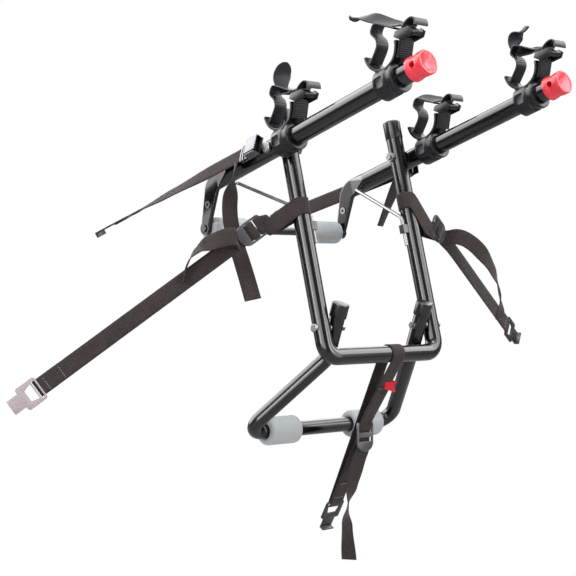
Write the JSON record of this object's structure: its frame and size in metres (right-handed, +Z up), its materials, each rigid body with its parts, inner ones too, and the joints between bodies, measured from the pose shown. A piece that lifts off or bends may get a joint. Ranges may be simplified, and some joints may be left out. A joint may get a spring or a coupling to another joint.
{
  "type": "trunk mounted bike rack",
  "caption": "Folding rack that straps to a car's trunk and carries bicycles on long arms with cradles, padded frames and webbing straps.",
  "frame": {"origin": "middle of the upper bar's axis, where the rack rests on the trunk lid", "axes": "+X across the car, +Y toward the car, +Z up"},
  "size_m": [0.9413, 0.6546, 0.7694],
  "materials": {
    "tube_black": "gloss black powder coat",
    "cap_red": "moulded, satin gloss",
    "pad_grey": "closed cell foam",
    "zinc": "zinc plated",
    "cradle_black": "moulded nylon",
    "strap_rubber": "moulded, satin",
    "webbing": "woven polypropylene",
    "buckle_plastic": "moulded acetal",
    "hook_black": "black powder coat",
    "cap_black": "moulded"
  },
  "bodies": {
    "carry_arms": {"arm_left": "tube_black", "arm_right": "tube_black", "end_cap_left": "cap_red", "end_cap_right": "cap_red", "upper_bar": "tube_black", "upper_pad_left": "pad_grey", "upper_pad_right": "pad_grey", "arm_eyelets": "zinc", "hub_bolts": "zinc", "hub_washers": "zinc", "cam_buckle_left": "zinc", "cam_buckle_right": "zinc", "top_strap_left": "webbing", "top_strap_right": "webbing", "top_tail_left": "webbing", "top_tail_right": "webbing", "top_hook_left": "hook_black", "top_hook_right": "hook_black"},
    "folding_frame": {"main_frame": "tube_black", "upright_caps": "cap_black", "brace_clips": "buckle_plastic", "pivot_bolts": "zinc", "side_loop_left": "webbing", "side_loop_right": "webbing", "side_buckle_left": "buckle_plastic", "side_buckle_right": "buckle_plastic", "side_strap_left": "webbing", "side_strap_right": "webbing", "side_tail_left": "webbing", "side_tail_right": "webbing", "side_hook_left": "zinc", "side_hook_right": "hook_black", "bottom_strap": "webbing", "bottom_run": "webbing", "bottom_buckle": "buckle_plastic", "bottom_tail": "webbing", "bottom_hook": "hook_black"},
    "lower_leg": {"lower_frame": "tube_black", "stub_caps": "cap_black", "lower_pads": "pad_grey"},
    "lock_rod_left": {"brace_left": "zinc"},
    "lock_rod_right": {"brace_right": "zinc"},
    "saddle_front_left": {"cradle_front_left": "cradle_black", "cradle_strap_front_left": "strap_rubber", "cradle_buckle_front_left": "cradle_black"},
    "saddle_lever_front_left": {"cradle_lever_front_left": "cradle_black"},
    "saddle_front_right": {"cradle_front_right": "cradle_black", "cradle_strap_front_right": "strap_rubber", "cradle_buckle_front_right": "cradle_black"},
    "saddle_lever_front_right": {"cradle_lever_front_right": "cradle_black"},
    "saddle_rear_left": {"cradle_rear_left": "cradle_black", "cradle_strap_rear_left": "strap_rubber", "cradle_buckle_rear_left": "cradle_black"},
    "saddle_lever_rear_left": {"cradle_lever_rear_left": "cradle_black"},
    "saddle_rear_right": {"cradle_rear_right": "cradle_black", "cradle_strap_rear_right": "strap_rubber", "cradle_buckle_rear_right": "cradle_black"},
    "saddle_lever_rear_right": {"cradle_lever_rear_right": "cradle_black"},
    "buckle_lever_left": {"cam_lever_left": "zinc"},
    "buckle_lever_right": {"cam_lever_right": "zinc"}
  },
  "joints": [
    {"name": "frame_fold", "type": "hinge", "parent": "carry_arms", "child": "folding_frame", "pos_m": [0, -0.15651, 0.11196], "axis": [-1, 0, 0], "range_deg": [0, 30]},
    {"name": "lower_fold", "type": "hinge", "parent": "folding_frame", "child": "lower_leg", "pos_m": [0, -0.22423, -0.14617], "axis": [1, 0, 0], "range_deg": [0, 80]},
    {"name": "rod_left", "type": "hinge", "parent": "carry_arms", "child": "lock_rod_left", "pos_m": [-0.125, -0.05178, 0.06802], "axis": [1, 0, 0], "range_deg": [0, 12]},
    {"name": "rod_right", "type": "hinge", "parent": "carry_arms", "child": "lock_rod_right", "pos_m": [0.125, -0.05178, 0.06802], "axis": [1, 0, 0], "range_deg": [0, 12]},
    {"name": "turn_front_left", "type": "hinge", "parent": "carry_arms", "child": "saddle_front_left", "pos_m": [-0.1429, -0.38793, 0.18271], "axis": [0, -0.9563, 0.2924], "range_deg": [-30, 30]},
    {"name": "open_front_left", "type": "hinge", "parent": "saddle_front_left", "child": "saddle_lever_front_left", "pos_m": [-0.1429, -0.43186, 0.24424], "axis": [1, 0, 0], "range_deg": [0, 100]},
    {"name": "turn_front_right", "type": "hinge", "parent": "carry_arms", "child": "saddle_front_right", "pos_m": [0.1429, -0.39271, 0.18417], "axis": [0, -0.9563, 0.2924], "range_deg": [-30, 30]},
    {"name": "open_front_right", "type": "hinge", "parent": "saddle_front_right", "child": "saddle_lever_front_right", "pos_m": [0.1429, -0.43664, 0.24571], "axis": [1, 0, 0], "range_deg": [0, 100]},
    {"name": "turn_rear_left", "type": "hinge", "parent": "carry_arms", "child": "saddle_rear_left", "pos_m": [-0.1429, -0.1852, 0.12073], "axis": [0, -0.9563, 0.2924], "range_deg": [0, 30]},
    {"name": "open_rear_left", "type": "hinge", "parent": "saddle_rear_left", "child": "saddle_lever_rear_left", "pos_m": [-0.1429, -0.22912, 0.18226], "axis": [1, 0, 0], "range_deg": [0, 100]},
    {"name": "turn_rear_right", "type": "hinge", "parent": "carry_arms", "child": "saddle_rear_right", "pos_m": [0.1429, -0.19954, 0.12512], "axis": [0, -0.9563, 0.2924], "range_deg": [-30, 30]},
    {"name": "open_rear_right", "type": "hinge", "parent": "saddle_rear_right", "child": "saddle_lever_rear_right", "pos_m": [0.1429, -0.24347, 0.18665], "axis": [1, 0, 0], "range_deg": [0, 100]},
    {"name": "cam_left", "type": "hinge", "parent": "carry_arms", "child": "buckle_lever_left", "pos_m": [-0.16391, -0.12264, 0.11329], "axis": [-0.4695, -0.2581, -0.8444], "range_deg": [0, 90]},
    {"name": "cam_right", "type": "hinge", "parent": "carry_arms", "child": "buckle_lever_right", "pos_m": [0.16634, -0.12711, 0.09865], "axis": [0.1736, 0.2879, 0.9418], "range_deg": [0, 90]}
  ]
}
